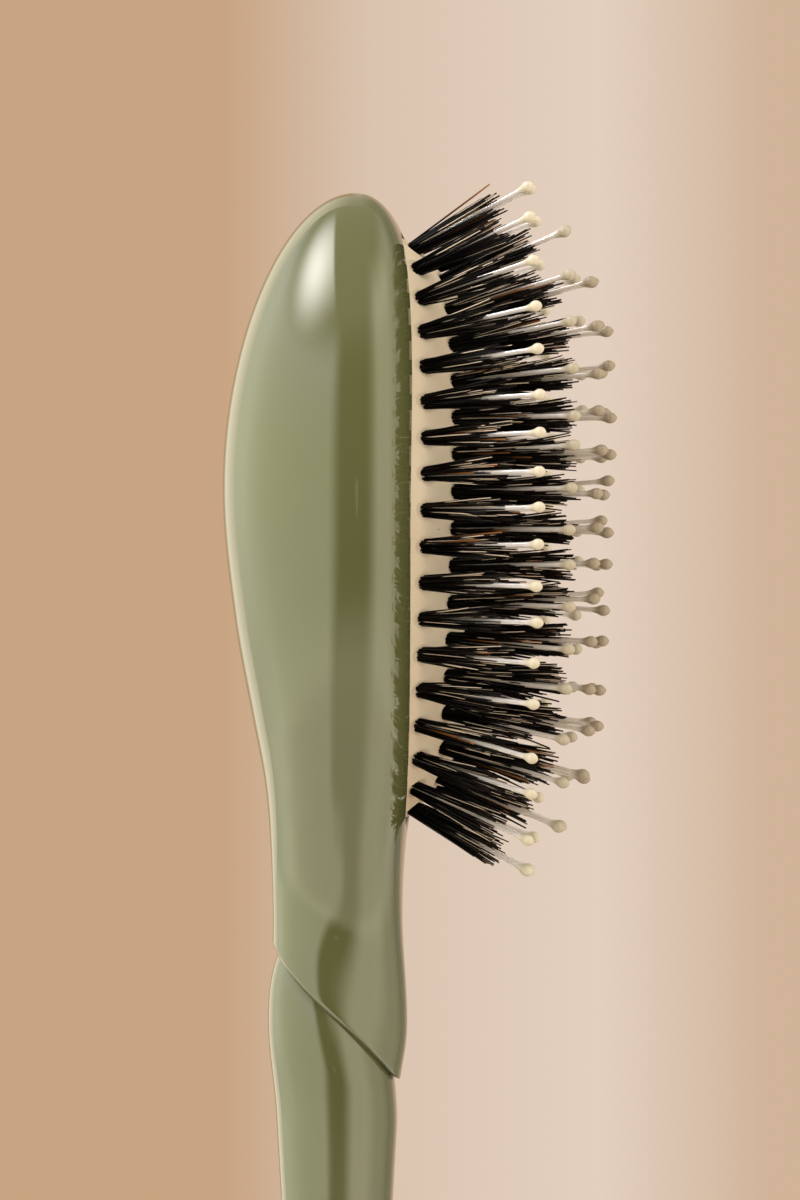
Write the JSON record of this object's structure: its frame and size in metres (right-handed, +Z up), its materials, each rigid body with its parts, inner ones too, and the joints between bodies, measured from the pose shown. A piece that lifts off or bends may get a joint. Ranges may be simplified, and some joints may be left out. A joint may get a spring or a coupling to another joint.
{
  "type": "detangling brush",
  "caption": "Upright oval cushion hairbrush: glossy moulded handle and head, domed rubber air cushion, dark boar tufts round ball-tipped nylon pins.",
  "frame": {"origin": "centre of the hand grip, on the handle's axis", "axes": "+Z up the handle to the nose, +X the way the bristles point, +Y across the head"},
  "size_m": [0.0564, 0.051, 0.2266],
  "materials": {
    "acetate": "gloss",
    "rubber": "matte",
    "boar_bristle": "satin",
    "nylon": "gloss",
    "wire": "satin"
  },
  "bodies": {
    "handle": {"handle_body": "acetate", "cushion": "rubber"},
    "bristles_1": {"tuft_ring_1": "boar_bristle", "pin_ring_1": "nylon", "anchor_ring_1": "wire"},
    "bristles_2": {"tuft_ring_2": "boar_bristle", "pin_ring_2": "nylon", "anchor_ring_2": "wire"},
    "bristles_3": {"tuft_ring_3": "boar_bristle", "pin_ring_3": "nylon", "anchor_ring_3": "wire"},
    "bristles_4": {"tuft_ring_4": "boar_bristle", "pin_ring_4": "nylon", "anchor_ring_4": "wire"}
  },
  "joints": [
    {"name": "cushion_press", "type": "slide", "parent": "handle", "child": "bristles_4", "axis": [-1, 0, 0], "range_m": [0, 0.004], "stiffness_N_per_m": 1500, "deforming": ["cushion"]},
    {"name": "ring_1_press", "type": "slide", "parent": "handle", "child": "bristles_1", "axis": [-1, 0, 0], "range_m": [0, 0.00133]},
    {"name": "ring_2_press", "type": "slide", "parent": "handle", "child": "bristles_2", "axis": [-1, 0, 0], "range_m": [0, 0.00321]},
    {"name": "ring_3_press", "type": "slide", "parent": "handle", "child": "bristles_3", "axis": [-1, 0, 0], "range_m": [0, 0.00389]}
  ],
  "couplings": [
    {"joint": "ring_1_press", "follows": "cushion_press", "ratio": 0.33},
    {"joint": "ring_2_press", "follows": "cushion_press", "ratio": 0.8},
    {"joint": "ring_3_press", "follows": "cushion_press", "ratio": 0.97}
  ]
}
